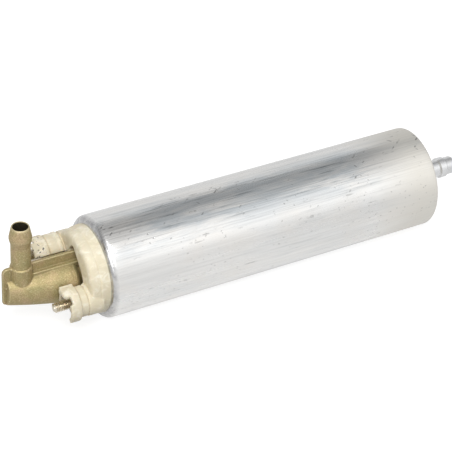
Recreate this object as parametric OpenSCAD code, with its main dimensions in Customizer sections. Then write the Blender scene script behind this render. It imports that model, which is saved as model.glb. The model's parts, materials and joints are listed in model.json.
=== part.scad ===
// In-line electric fuel pump: a drawn aluminium tube that holds a brushed motor and a
// gear-rotor pump, with a moulded end cap, two terminal posts and a die-cast outlet elbow.
// X runs along the tube from the terminal end to the inlet end, +Z follows the outlet barb,
// and the origin is on the tube's axis halfway along it, where the mounting band goes.

/* [Tube] */
// Outer diameter of the tube
tube_d = 43; // [42.6:0.1:44]
// Wall of the tube
tube_wall = 1.2; // [1:0.1:1.2]
// Length of the tube over both ends
tube_len = 153.6; // [150:0.2:160]
// Outer radius of the rim that is rolled over the end cap
rim_round = 3; // [2.8:0.1:3.2]
// Thickness of the closed end
floor_t = 1.6; // [1.2:0.1:2]
// Radius of the closed end's outer corner
floor_round = 1; // [0.6:0.1:1]

/* [End cap] */
// Height of the cap's face above the rim
cap_face = 8; // [7.5:0.1:8.5]
// Height of the wide step next to the rim
cap_step = 3.9; // [3.4:0.1:4.2]
// Radius of the cap's narrower step
cap_r = 17.6; // [17.4:0.1:17.8]
// Thickness of the cap's front wall
cap_wall = 5; // [4.5:0.1:5.2]
// Radius of the opening for the outlet elbow
cap_open_r = 9; // [8.8:0.1:9.2]
// Distance of each terminal post from the tube's axis
post_off = 13; // [12.8:0.1:13.2]
// Tilt of the line through both terminal posts
post_tilt = 21; // [18:1:24]
// Outer radius of a terminal shroud
shroud_r = 7.5; // [7.3:0.1:7.6]
// Wall of a terminal shroud
shroud_wall = 1.9; // [1.6:0.1:2]

/* [Terminals] */
// Diameter of the smaller terminal's thread
stud_small_d = 4; // [3:0.5:4]
// Diameter of the larger terminal's thread
stud_large_d = 5; // [4:0.5:5]
// Reach of the smaller stud past the rim
stud_small_reach = 22.3; // [20:0.1:24]
// Reach of the larger stud past the rim
stud_large_reach = 25.5; // [23:0.1:26]

/* [Outlet elbow] */
// Reach of the elbow's end past the rim
elbow_reach = 38.7; // [38:0.1:40]
// Distance of the barb's axis from the rim
barb_x = 30.6; // [30.2:0.1:31]
// Height of the barb's tip above the tube's axis
barb_top = 30.2; // [28:0.1:36]
// Outer diameter of the hose tube below the barb
barb_d = 8; // [7.8:0.1:8]
// Largest diameter of the barb
barb_max_d = 9.2; // [9:0.1:9.4]
// Diameter of the outlet's bore
barb_bore_d = 6.2; // [5.6:0.1:6.4]

/* [Inlet] */
// Reach of the inlet nipple past the closed end
nipple_reach = 21; // [16:0.5:26]
// Outer diameter of the inlet nipple
nipple_d = 7.6; // [7.2:0.1:7.8]
// Largest diameter of the inlet nipple's bead
bead_d = 8.8; // [8.6:0.1:9]

/* [Motor] */
// Diameter of the motor shaft
shaft_d = 6; // [5.8:0.1:6]
// Radius of the armature over its teeth
core_r = 13.7; // [13.5:0.1:13.8]
// Length of the tube less that of the armature's laminated core
core_room = 107.6; // [105.6:0.2:113.6]
// Radius of the commutator
comm_r = 7.5; // [7.3:0.1:7.6]
// Number of armature slots
slots = 8; // [7:1:9]

/* [Pump] */
// Lobes of the outer rotor, one more than the inner rotor's teeth
lobes = 7; // [7:1:7]
// Distance between the two rotors' axes
rotor_off = 1; // [0.9:0.05:1]
// Radius of the circle through the lobes' centres
lobe_ring_r = 10.4; // [10.3:0.1:10.5]
// Radius of each lobe
lobe_r = 2.4; // [2.3:0.1:2.5]
// Thickness of both rotors
rotor_t = 8; // [6:0.5:9]
// Travel of the outlet check ball off its seat
check_lift = 2; // [1:0.1:2]
// Travel of the relief ball off its seat
relief_lift = 1.2; // [0.8:0.1:1.2]
// Travel of a brush against its spring
brush_lift = 1; // [0.5:0.1:1.2]

/* [Hidden] */
$fn = 64;

// Clearances between pieces that are pressed or clamped together
fit = 0.03;
// Radial clearance of a turning shaft or rotor
run = 0.03;
// Clearance that lets a ball rest just off its seat
seat_gap = 0.02;

tube_r = tube_d / 2;
bore_r = tube_r - tube_wall;
plate_r = bore_r - fit;
rim_x = -tube_len / 2;
end_x = tube_len / 2;
rim_open_r = tube_r - rim_round + 0.5;
hub_r = 7;

face_x = rim_x - cap_face;
wall_x = face_x + cap_wall;
flange_t = 2.5;
flange_r = 13;
flange_half = 9;
plate_x = wall_x + flange_t + fit;
retainer_t = 3.2;
cavity_r = 16.6;
lip_r = rim_open_r - 0.4;
groove_w = 2.6;
groove_x = rim_x + 5.2;
groove_r = bore_r - 1.9;
cap_end = rim_x + 11;

post_y = post_off * cos(post_tilt);
post_z = post_off * sin(post_tilt);
post_r = 6.7;
small_floor_x = rim_x - 13.6;
large_floor_x = rim_x - 16.9;
shank_step = 0.4;
spigot_r = 7;
chamber_r = 3.7;
spigot_end = rim_x + 6;
seat_x = rim_x + 2;
seat_bore_r = 1.8;
check_r = 2.7;
check_x = seat_x - sqrt(check_r * check_r - seat_bore_r * seat_bore_r) - seat_gap;
check_spring_solid = 4.25;
chamber_end = check_x - check_r - check_lift - check_spring_solid;

web_top = 11.4;
web_bottom = -5.5;
web_t = 1.5;
ledge_x = rim_x - 28;
ledge_top = 7.35;
ledge_side = 2.45;
body_lean = 3.7;
body_len = 23.4;
shoulder_len = 4.4;
scallop_r = 9.5;

shaft_r = shaft_d / 2;
holder_x = cap_end + 0.1;
holder_t = 4;
holder_end = holder_x + holder_t;
comm_x = holder_end + 2.4;
comm_len = 8;
brush_w = 6;
brush_t = 4.5;
brush_x = comm_x + comm_len / 2;
box_wall = 0.5;
box_low = comm_r + 1.2;
box_top = bore_r - 0.8;
brush_spring_solid = 2.5;
brush_top = box_top - box_wall - brush_lift - brush_spring_solid;
brush_len = brush_top - comm_r;

motor_x = comm_x + comm_len + 5;
core_len = tube_len - core_room;
yoke_len = core_len + 14;
yoke_end = motor_x + yoke_len;
yoke_t = 1.8;
core_x = motor_x + 7;
core_end = core_x + core_len;
magnet_out = bore_r - yoke_t - 0.15;
magnet_in = core_r + 0.6;
stack_x = yoke_end + 8;
outlet_t = 7;
ring_x = stack_x + outlet_t;
ring_end = ring_x + rotor_t + 0.1;
inlet_t = 6;
inlet_end = ring_end + inlet_t;
rotor_x = ring_x + 0.05;
outer_rotor_r = 13;
rotor_gap = 0.05;
relief_z = 16;
relief_hole_r = 1.2;
relief_ball_r = 1.9;
relief_seat_x = ring_end + 1.5;
relief_x = relief_seat_x + sqrt(relief_ball_r * relief_ball_r - relief_hole_r * relief_hole_r) + seat_gap;
relief_bore_r = 2.3;
relief_spring_solid = 3.9;
relief_plug_t = 2;
relief_plug_x = relief_x + relief_ball_r + relief_lift + relief_spring_solid;
relief_end = relief_plug_x + relief_plug_t;
screw_ring_r = 17.3;
screw_r = 1.25;

cover_end = end_x - floor_t - fit;
cover_x = cover_end - 13;
boss_end = end_x + 2;
nipple_r = nipple_d / 2;
nipple_bore_r = 2.6;
nipple_tip = end_x + nipple_reach;
bead_x = nipple_tip - 8;
bead_len = 4;
frame_x = cover_x - 9;

cream = "#e4d8b4";
cast_gold = "#a8945f";
drawn_alu = "#c8ccd2";
steel = "#9a9da2";
brass = "#c2a04c";
copper = "#b0673a";
black_rubber = "#222222";
ferrite = "#3b3b40";
bronze = "#a9793f";

// A round bar along X from x1 to x2
module bar(x1, x2, r, y = 0, z = 0) {
    translate([x1, y, z]) rotate([0, 90, 0]) cylinder(r = r, h = x2 - x1);
}

// A ring about the X axis from x1 to x2
module ring(x1, x2, outer, inner) {
    difference() {
        bar(x1, x2, outer);
        bar(x1 - 1, x2 + 1, inner);
    }
}

// A profile drawn as (radius, x) and turned about the X axis
module turned() {
    rotate([0, 90, 0]) rotate_extrude() children();
}

// A ring of round wire about the X axis
module wire_ring(x, r, wire_r) {
    turned() translate([r, x]) circle(r = wire_r);
}

// A coil spring along +Z: a round wire's section, spread round the axis by its own climb
module coil_spring(length, r, wire_r, turns) {
    climb = length / turns;
    linear_extrude(height = length, twist = -360 * turns, slices = turns * 14, $fn = 8)
        polygon([
            for (t = [0 : 45 : 315]) let (a = 360 * wire_r * sin(t) / climb, reach = r + wire_r * cos(t))
                [reach * cos(a), reach * sin(a)]
        ]);
}

// A block given by its middle and its size
module block(middle, size) {
    translate(middle) cube(size, center = true);
}

// A sector of a ring in the plane of its axis, from angle a to angle b
module sector(r, a, b) {
    far = 2 * r;
    mid = (a + b) / 2;
    polygon([
        [0, 0], [far * cos(a), far * sin(a)], [far * cos((a + mid) / 2), far * sin((a + mid) / 2)],
        [far * cos(mid), far * sin(mid)], [far * cos((b + mid) / 2), far * sin((b + mid) / 2)],
        [far * cos(b), far * sin(b)]
    ]);
}

// Extrudes a YZ profile along X from x1 to x2
module along(x1, x2) {
    translate([x1, 0, 0]) rotate([90, 0, 90]) linear_extrude(x2 - x1) children();
}

// Part of a ring about the X axis between two angles, counted from +Y towards +Z
module arc_wall(x1, x2, outer, inner, a, b) {
    along(x1, x2) intersection() {
        difference() {
            circle(r = outer);
            circle(r = inner);
        }
        sector(outer, a, b);
    }
}

module tube_outline() {
    translate([0, rim_x]) square([tube_r - rim_round, tube_len]);
    translate([0, rim_x + rim_round]) square([tube_r, tube_len - rim_round - floor_round]);
    translate([0, end_x - floor_round - 1]) square([tube_r - floor_round, floor_round + 1]);
    translate([tube_r - rim_round, rim_x + rim_round]) circle(r = rim_round);
    translate([tube_r - floor_round, end_x - floor_round]) circle(r = floor_round);
}

module tube_hollow() {
    inner_round = rim_round - tube_wall;
    translate([0, rim_x - 1]) square([rim_open_r, 2 + tube_wall]);
    translate([0, rim_x + tube_wall]) square([tube_r - rim_round, rim_round]);
    translate([tube_r - rim_round, rim_x + rim_round]) circle(r = inner_round);
    translate([0, rim_x + rim_round]) square([bore_r, tube_len - rim_round - floor_t]);
    translate([0, end_x - floor_t - 1]) square([hub_r, floor_t + 2]);
}

module tube_housing() {
    color(drawn_alu) turned() difference() {
        tube_outline();
        tube_hollow();
    }
}

module cap_outline() {
    edge = 1.2;
    under_rim = rim_round - tube_wall - fit;
    translate([0, face_x]) square([cap_r - edge, cap_face]);
    translate([0, face_x + edge]) square([cap_r, cap_face - edge]);
    translate([cap_r - edge, face_x + edge]) circle(r = edge);
    translate([0, rim_x - cap_step]) square([lip_r, cap_step + tube_wall + rim_round / 2]);
    translate([tube_r - rim_round, rim_x + rim_round]) circle(r = under_rim);
    difference() {
        translate([0, rim_x + rim_round]) square([plate_r, cap_end - rim_x - rim_round]);
        translate([groove_r, groove_x]) square([5, groove_w]);
    }
}

// The flange that holds the elbow: a disc with two flats beside the terminals
module flange_shape(grow) {
    rotate(post_tilt) intersection() {
        circle(r = flange_r + grow);
        square([2 * (flange_half + grow), 4 * flange_r], center = true);
    }
}

// The smaller terminal's post, nearer the viewer, with a round shroud and a taller lug on it
module post_small() {
    base_x = rim_x - 9;
    neck_x = rim_x - 9.6;
    shroud_x = rim_x - 12.9;
    low_x = rim_x - 16.3;
    tall_x = rim_x - 18.8;
    bar(base_x, wall_x, post_r);
    bar(neck_x, base_x + 0.2, post_r - 0.6);
    bar(shroud_x, neck_x, post_r - 0.3);
    bar(small_floor_x, shroud_x, shroud_r);
    arc_wall(low_x, shroud_x, shroud_r, shroud_r - shroud_wall, 25, 245);
    arc_wall(tall_x, shroud_x, shroud_r, shroud_r - shroud_wall - 0.7, 30, 128);
}

// The larger terminal's post, behind the elbow, taller than the other one
module post_large() {
    foot_x = rim_x - 7.8;
    band_x = rim_x - 9;
    step_x = rim_x - 10.4;
    neck_x = rim_x - 14.4;
    skirt_x = rim_x - 15.3;
    low_x = rim_x - 18.5;
    tall_x = rim_x - 20;
    skirt_r = shroud_r - 0.4;
    bar(foot_x, wall_x, post_r);
    bar(band_x, foot_x + 0.2, post_r - 0.8);
    bar(step_x, band_x, post_r + 0.2);
    bar(neck_x, step_x, post_r);
    bar(skirt_x, neck_x, post_r - 0.5);
    bar(large_floor_x, skirt_x, skirt_r);
    arc_wall(low_x, skirt_x, skirt_r, skirt_r - shroud_wall, 225, 335);
    arc_wall(tall_x, skirt_x, skirt_r, skirt_r - shroud_wall, 50, 205);
}

// The opening's corner that lets the elbow's web through, counted from +Y towards +Z
module web_notch() {
    polygon([[0, 0], [3.7, 9.7], [1.5, 12.7], [0, 12.7], [-5.4, 7.2]]);
}

module end_cap() {
    color(cream) difference() {
        union() {
            turned() cap_outline();
            translate([0, -post_y, -post_z]) post_small();
            translate([0, post_y, post_z]) post_large();
        }
        bar(rim_x - 40, face_x, scallop_r);
        bar(face_x - 1, wall_x + 1, cap_open_r);
        along(face_x - 1, wall_x + 1) web_notch();
        elbow_body(0.35);
        along(wall_x, plate_x - fit) flange_shape(0.1);
        bar(plate_x - fit, cap_end + 1, cavity_r);
        bar(rim_x - 40, rim_x, stud_small_d / 2 + shank_step + fit, -post_y, -post_z);
        bar(rim_x - 40, rim_x, stud_large_d / 2 + shank_step + fit, post_y, post_z);
        for (s = [-1, 1]) retainer_screw_axis(s) bar(wall_x - 1.5, rim_x, screw_r * 0.8 + fit);
    }
}

module cap_oring() {
    color(black_rubber)
        wire_ring(groove_x + groove_w / 2, (groove_r + bore_r) / 2, (bore_r - groove_r) / 2 - fit);
}

// The elbow's round body: it leans down and widens towards the cap, then narrows to a neck
module elbow_body(grow) {
    tip_r = 5.6;
    knee_r = 8.9;
    neck_r = 6;
    neck_z = -0.8;
    translate([rim_x - elbow_reach + 1.4, 0, -0.2]) rotate([0, 90 + body_lean, 0]) rotate_extrude()
        polygon([
            [0, 0], [tip_r + grow, 0], [knee_r + grow, body_len],
            [neck_r + grow, body_len + shoulder_len], [0, body_len + shoulder_len]
        ]);
    bar(face_x - 3.8, wall_x + 0.5, neck_r + grow, 0, neck_z);
}

// Places a screw on the line square to the two terminals
module retainer_screw_axis(side) {
    rotate([post_tilt, 0, 0]) translate([0, 0, side * 14.6]) children();
}

module barb_outline() {
    tip_r = 3.6;
    land_low = barb_top - 5.8;
    base_top = 11;
    polygon([
        [0, 0], [4.5, 0], [4.5, base_top], [barb_d / 2, base_top + 0.5], [barb_d / 2, barb_top - 8.6],
        [barb_max_d / 2, land_low], [barb_max_d / 2, land_low + 1.2], [tip_r + 0.3, barb_top - 1],
        [tip_r, barb_top], [0, barb_top]
    ]);
}

module web_outline(x1, x2, low, high, top_round, low_round) {
    translate([x1 + top_round, low + low_round]) square([x2 - x1 - top_round, high - low - low_round]);
    translate([x1 + low_round, low]) square([x2 - x1 - low_round, high - low - top_round]);
    translate([x1, low + low_round]) square([x2 - x1, high - low - low_round - top_round]);
    translate([x1 + top_round, high - top_round]) circle(r = top_round);
    translate([x1 + low_round, low + low_round]) circle(r = low_round);
}

module outlet_elbow() {
    tip_x = rim_x - elbow_reach;
    root_x = wall_x + 0.5;
    duct_z = -0.4;
    color(cast_gold) difference() {
        union() {
            translate([0, web_t / 2, 0]) rotate([90, 0, 0]) linear_extrude(web_t)
                web_outline(tip_x, root_x, web_bottom, web_top, 2.2, 1.5);
            translate([ledge_x, -ledge_side, 0]) cube([root_x - ledge_x, ledge_side, ledge_top]);
            elbow_body(0);
            along(wall_x + fit, wall_x + flange_t) flange_shape(0);
            bar(wall_x + flange_t - 0.1, spigot_end, spigot_r);
            translate([rim_x - barb_x, 0, 0]) rotate_extrude() barb_outline();
        }
        bar(chamber_end, spigot_end + 1, chamber_r);
        bar(rim_x - barb_x, chamber_end + 0.5, 2.6, 0, duct_z);
        translate([rim_x - barb_x, 0, duct_z - 0.6]) cylinder(d = barb_bore_d, h = barb_top + 5);
        turned() translate([spigot_r - 1.3, plate_x + 1]) square([3, 1.5]);
    }
}

module elbow_oring() {
    color(black_rubber) wire_ring(plate_x + 1.75, spigot_r - 0.63, 0.62);
}

module elbow_retainer() {
    color(cream) difference() {
        bar(plate_x, plate_x + retainer_t, cavity_r - fit);
        bar(plate_x - 1, plate_x + 5, spigot_r + fit);
        bar(plate_x - 1, plate_x + 5, 4, -post_y, -post_z);
        bar(plate_x - 1, plate_x + 5, 4, post_y, post_z);
        for (s = [-1, 1]) retainer_screw_axis(s) bar(plate_x - 1, plate_x + 5, screw_r);
    }
}

module retainer_screws() {
    color(steel) for (s = [-1, 1]) retainer_screw_axis(s) {
        bar(wall_x - 1.4, plate_x + retainer_t + 0.2, screw_r * 0.8);
        bar(plate_x + retainer_t + fit, plate_x + retainer_t + 1.2, 1.9);
    }
}

module valve_seat() {
    color(brass) ring(seat_x, spigot_end - 0.2, chamber_r - fit, seat_bore_r);
}

module check_ball() {
    color(steel) translate([check_x, 0, 0]) sphere(r = check_r);
}

module check_spring() {
    start_x = chamber_end + 0.3;
    color(steel) translate([start_x, 0, 0]) rotate([0, 90, 0])
        coil_spring(check_x - check_r * 0.75 - start_x, 2.9, 0.35, 4);
}

// A terminal stud: thread, thicker shank in the cap from shank_x, and a head inside the cap
module stud(d, reach, shank_x, y, z) {
    tip = 0.6;
    bar(rim_x - reach + tip, shank_x + 0.1, d / 2, y, z);
    translate([rim_x - reach, y, z]) rotate([0, 90, 0]) cylinder(r1 = d / 2 - tip, r2 = d / 2, h = tip);
    bar(shank_x, plate_x + 0.5, d / 2 + shank_step, y, z);
    bar(plate_x, plate_x + 1.6, 3.5, y, z);
}

module stud_small() {
    color(steel) stud(stud_small_d, stud_small_reach, small_floor_x - 0.3, -post_y, -post_z);
}

module stud_large() {
    color(steel) stud(stud_large_d, stud_large_reach, large_floor_x - 0.3, post_y, post_z);
}

// The strip from a stud's head to the brush holder
module terminal_strip(side) {
    start_x = plate_x + 1.6 + fit;
    color(brass) rotate([post_tilt, 0, 0]) {
        block([start_x + 0.4, side * post_off, 0], [0.8, 6, 5]);
        block([(start_x + cap_end) / 2, side * (post_off + 2.4), 0], [cap_end - start_x, 0.8, 3]);
    }
}

module terminal_strip_small() {
    terminal_strip(-1);
}

module terminal_strip_large() {
    terminal_strip(1);
}

// Places a suppression choke between the two terminals
module choke_place(side) {
    rotate([post_tilt, 0, 0]) translate([0, 0, side * 12.4]) children();
}

module choke_core(side) {
    color(ferrite) choke_place(side) bar(rim_x + 4.4, cap_end - 0.4, 1.6);
}

module choke_coil(side) {
    color(copper) choke_place(side) ring(rim_x + 5.2, cap_end - 1.2, 2.4, 1.6 + fit);
}

module choke_core_upper() {
    choke_core(1);
}

module choke_core_lower() {
    choke_core(-1);
}

module choke_coil_upper() {
    choke_coil(1);
}

module choke_coil_lower() {
    choke_coil(-1);
}

module brush_holder() {
    hub_x = holder_x - 3;
    color("#d9cfae") difference() {
        union() {
            bar(holder_x, holder_end, plate_r);
            bar(hub_x, holder_end + 0.2, 5.6);
        }
        bar(hub_x - 1, holder_end + 1, 4.2 + fit);
        for (a = [0 : 60 : 300]) rotate([a + 30, 0, 0]) bar(holder_x - 1, holder_end + 1, 2.2, 0, 10.5);
    }
}

module front_bearing() {
    color(bronze) ring(holder_x - 3, holder_end, 4.2, shaft_r + run);
}

// A brass guide box for one brush, above or below the shaft
module brush_box(side) {
    color(brass) difference() {
        block([brush_x, 0, side * (box_low + box_top) / 2],
            [brush_w + 0.2 + 2 * box_wall, brush_t + 0.2 + 2 * box_wall, box_top - box_low]);
        block([brush_x, 0, side * (box_low + box_top - 2 * box_wall) / 2],
            [brush_w + 0.2, brush_t + 0.2, box_top - box_low]);
    }
}

module brush(side) {
    color(ferrite) difference() {
        block([brush_x, 0, side * (brush_top + comm_r - 0.5) / 2], [brush_w, brush_t, brush_len + 0.5]);
        bar(comm_x - 1, comm_x + comm_len + 1, comm_r + seat_gap);
    }
}

module brush_spring(side) {
    length = box_top - box_wall - brush_top - 0.1;
    low = side > 0 ? brush_top + 0.05 : -brush_top - 0.05 - length;
    color(steel) translate([brush_x, 0, low]) coil_spring(length, 1.5, 0.25, 4);
}

module brush_box_upper() {
    brush_box(1);
}

module brush_box_lower() {
    brush_box(-1);
}

module brush_upper() {
    brush(1);
}

module brush_lower() {
    brush(-1);
}

module brush_spring_upper() {
    brush_spring(1);
}

module brush_spring_lower() {
    brush_spring(-1);
}

module flux_ring() {
    color(steel) ring(motor_x, yoke_end, plate_r, bore_r - yoke_t);
}

module magnet_near() {
    color(ferrite) arc_wall(core_x - 3, core_end + 3, magnet_out, magnet_in, 115, 245);
}

module magnet_far() {
    color(ferrite) arc_wall(core_x - 3, core_end + 3, magnet_out, magnet_in, -65, 65);
}

module magnet_clip_upper() {
    color(steel) arc_wall(core_x - 3, core_end + 3, magnet_out, magnet_out - 0.7, 69, 111);
}

module magnet_clip_lower() {
    color(steel) arc_wall(core_x - 3, core_end + 3, magnet_out, magnet_out - 0.7, 249, 291);
}

module motor_spacer() {
    color(drawn_alu) ring(yoke_end + fit, stack_x - fit, plate_r, bore_r - 1.6);
}

module shaft() {
    color(steel) difference() {
        bar(holder_x - 2.5, inlet_end - 2.5, shaft_r);
        for (s = [-1, 1]) block([rotor_x + rotor_t / 2 + 3, s * (shaft_r + 1.5), 0], [rotor_t + 9, 4, 8]);
    }
}

// The round hole and narrow mouth of one armature slot
module slot_outline(grow) {
    translate([9.2, 0]) circle(r = 2.6 + grow);
    translate([core_r - 1, 0]) square([4, 1.4], center = true);
}

module armature_core() {
    color(steel) along(core_x, core_end) difference() {
        circle(r = core_r);
        circle(r = shaft_r + fit);
        for (i = [0 : slots - 1]) rotate(i * 360 / slots) slot_outline(0);
    }
}

module windings() {
    color(copper) {
        for (i = [0 : slots - 1]) rotate([i * 360 / slots, 0, 0])
            bar(core_x - 0.5, core_end + 0.5, 2.55, 9.2, 0);
        turned() translate([9.4, core_x - 3.8]) circle(r = 3.6);
        turned() translate([9.4, core_end + 3.8]) circle(r = 3.6);
    }
}

module commutator() {
    color(copper) difference() {
        union() {
            ring(comm_x, comm_x + comm_len, comm_r, 5);
            ring(comm_x + comm_len - 0.1, comm_x + comm_len + 1.6, comm_r + 0.9, 5);
        }
        for (i = [0 : slots - 1]) rotate([(i + 0.5) * 360 / slots, 0, 0])
            block([comm_x + comm_len / 2 + 1, 0, comm_r], [comm_len + 4, 0.5, 3.6]);
    }
}

module commutator_hub() {
    color("#4a2d1e") ring(comm_x - 0.6, comm_x + comm_len + 1.6, 5 - fit, shaft_r + fit);
}

module thrust_washer_front() {
    color(cream) ring(holder_end + 0.4, holder_end + 1.2, 4.8, shaft_r + fit);
}

module thrust_washer_rear() {
    color(cream) ring(stack_x - 1.3, stack_x - 0.5, 4.8, shaft_r + fit);
}

module rear_bearing() {
    color(bronze) ring(stack_x, ring_x - 0.1, 4.6, shaft_r + run);
}

// A kidney port between the two rotors, on one side of the line through their axes
module kidney_port(x1, x2, a, b) {
    arc_wall(x1, x2, lobe_ring_r - 0.8, 7, a, b);
}

// Holes for the clamping screws through the pump's stack
module screw_holes(x1, x2, r) {
    for (a = [60, 180, 300]) rotate([a, 0, 0]) bar(x1, x2, r, 0, screw_ring_r);
}

module outlet_plate() {
    color(drawn_alu) difference() {
        bar(stack_x, ring_x, plate_r);
        bar(stack_x - 1, ring_x + 1, 4.6 + fit);
        kidney_port(stack_x - 1, ring_x + 1, 205, 335);
        bar(stack_x - 1, ring_x + 1, relief_hole_r, 0, relief_z);
        screw_holes(stack_x + 1, ring_x + 1, screw_r);
    }
}

module pump_ring() {
    color(steel) difference() {
        bar(ring_x + fit, ring_end - fit, plate_r);
        bar(ring_x - 1, ring_end + 1, outer_rotor_r + run, rotor_off, 0);
        bar(ring_x - 1, ring_end + 1, relief_hole_r, 0, relief_z);
        screw_holes(ring_x - 1, ring_end + 1, screw_r);
    }
}

module outer_rotor() {
    root_r = lobe_ring_r + 2 * rotor_off - lobe_r + rotor_gap;
    color("#7d8086") translate([0, rotor_off, 0]) along(rotor_x, rotor_x + rotor_t) {
        difference() {
            circle(r = outer_rotor_r);
            circle(r = root_r);
        }
        intersection() {
            circle(r = root_r + 1);
            for (i = [0 : lobes - 1]) rotate(i * 360 / lobes)
                translate([lobe_ring_r, 0]) circle(r = lobe_r);
        }
    }
}

// One point of the inner rotor's outline: the lobes' path, moved inwards by a lobe's radius
function rotor_point(s) =
    let (
        nx = lobe_ring_r * cos(s) + rotor_off * lobes * cos(lobes * s),
        ny = lobe_ring_r * sin(s) + rotor_off * lobes * sin(lobes * s),
        inset = (lobe_r + rotor_gap) / norm([nx, ny])
    )
    [
        lobe_ring_r * cos(s) + rotor_off * cos(lobes * s) - inset * nx,
        lobe_ring_r * sin(s) + rotor_off * sin(lobes * s) - inset * ny
    ];

module inner_rotor() {
    step = 1.2;
    color("#8b8e94") along(rotor_x, rotor_x + rotor_t) difference() {
        polygon([for (s = [0 : step : 360 - step]) rotor_point(s)]);
        intersection() {
            circle(r = shaft_r + fit);
            square([2 * (shaft_r - 0.5 + fit), 10], center = true);
        }
    }
}

module inlet_plate() {
    color(drawn_alu) difference() {
        union() {
            bar(ring_end, inlet_end, plate_r);
            bar(inlet_end - 0.1, relief_end, 3.4, 0, relief_z);
        }
        bar(ring_end - 1, inlet_end - 1.5, shaft_r + run);
        kidney_port(ring_end - 1, inlet_end + 1, 25, 155);
        bar(ring_end - 1, relief_seat_x + 1, relief_hole_r, 0, relief_z);
        bar(relief_seat_x, relief_end + 1, relief_bore_r, 0, relief_z);
        screw_holes(ring_end - 1, inlet_end + 1, screw_r);
    }
}

module relief_ball() {
    color(steel) translate([relief_x, 0, relief_z]) sphere(r = relief_ball_r);
}

module relief_spring() {
    start_x = relief_x + relief_ball_r * 0.8;
    color(steel) translate([start_x, 0, relief_z]) rotate([0, 90, 0])
        coil_spring(relief_plug_x - 0.1 - start_x, 1.5, 0.25, 4);
}

module relief_plug() {
    color(brass) difference() {
        bar(relief_plug_x, relief_end, relief_bore_r - fit, 0, relief_z);
        bar(relief_plug_x - 1, relief_end + 1, 0.9, 0, relief_z);
    }
}

module pump_screws() {
    color(steel) {
        screw_holes(stack_x + 1.2, inlet_end + 0.2, screw_r - 0.05);
        screw_holes(inlet_end + fit, inlet_end + 2, 2.1);
    }
}

module pump_spacer() {
    color(drawn_alu) ring(inlet_end + fit, cover_x - fit, plate_r, bore_r - 0.8);
}

module inlet_cover() {
    color(drawn_alu) difference() {
        union() {
            bar(cover_x, cover_end, plate_r);
            bar(cover_end - 0.1, boss_end, hub_r - fit);
        }
        bar(cover_x - 1, cover_x + 6, 14);
        bar(cover_x - 1, boss_end + 1, nipple_r + fit);
        turned() translate([groove_r, cover_x + 7.5]) square([5, groove_w]);
    }
}

module cover_oring() {
    color(black_rubber)
        wire_ring(cover_x + 7.5 + groove_w / 2, (groove_r + bore_r) / 2, (bore_r - groove_r) / 2 - fit);
}

module strainer_frame() {
    color("#2d2d30") difference() {
        union() {
            ring(cover_x + 3, cover_x + 5.9, 13.9, 8.5);
            ring(frame_x, frame_x + 2, 9.6, 8.5);
            for (a = [45 : 90 : 315]) rotate([a, 0, 0])
                block([(frame_x + cover_x + 4) / 2, 9.05, 0], [cover_x + 4 - frame_x, 1, 1.4]);
        }
        bar(frame_x - 1, frame_x, 10);
    }
}

module strainer_mesh() {
    color("#d6d6cf") difference() {
        bar(frame_x + 0.2, cover_x + 5.6, 8.45);
        bar(frame_x + 0.8, cover_x + 6, 7.9);
    }
}

module nipple_outline() {
    neck = 0.35;
    translate([0, cover_x + 6.2]) square([nipple_r, nipple_tip - cover_x - 7]);
    translate([0, bead_x + 0.6]) square([bead_d / 2, bead_len - 1.2]);
    polygon([
        [0, bead_x], [nipple_r, bead_x], [bead_d / 2, bead_x + 0.6], [bead_d / 2, bead_x + bead_len - 0.6],
        [nipple_r, bead_x + bead_len], [0, bead_x + bead_len]
    ]);
    polygon([
        [0, nipple_tip - 1], [nipple_r, nipple_tip - 1], [nipple_r - neck, nipple_tip], [0, nipple_tip]
    ]);
}

module inlet_nipple() {
    color("#d5d7da") turned() difference() {
        nipple_outline();
        translate([0, cover_x]) square([nipple_bore_r, nipple_tip]);
    }
}

tube_housing();
end_cap();
cap_oring();
outlet_elbow();
elbow_retainer();
retainer_screws();
elbow_oring();
valve_seat();
check_ball();
check_spring();
stud_small();
stud_large();
terminal_strip_small();
terminal_strip_large();
choke_core_upper();
choke_core_lower();
choke_coil_upper();
choke_coil_lower();
brush_holder();
front_bearing();
brush_box_upper();
brush_box_lower();
brush_upper();
brush_lower();
brush_spring_upper();
brush_spring_lower();
flux_ring();
magnet_near();
magnet_far();
magnet_clip_upper();
magnet_clip_lower();
motor_spacer();
shaft();
armature_core();
windings();
commutator();
commutator_hub();
thrust_washer_front();
thrust_washer_rear();
rear_bearing();
outlet_plate();
pump_ring();
outer_rotor();
inner_rotor();
inlet_plate();
relief_ball();
relief_spring();
relief_plug();
pump_screws();
pump_spacer();
strainer_frame();
strainer_mesh();
inlet_cover();
cover_oring();
inlet_nipple();
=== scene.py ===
import json
import logging
import math
from collections.abc import Callable, Iterable, Sequence
from dataclasses import dataclass, field
from enum import Enum

import bmesh
import bpy
from mathutils import Matrix, Vector

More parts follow.
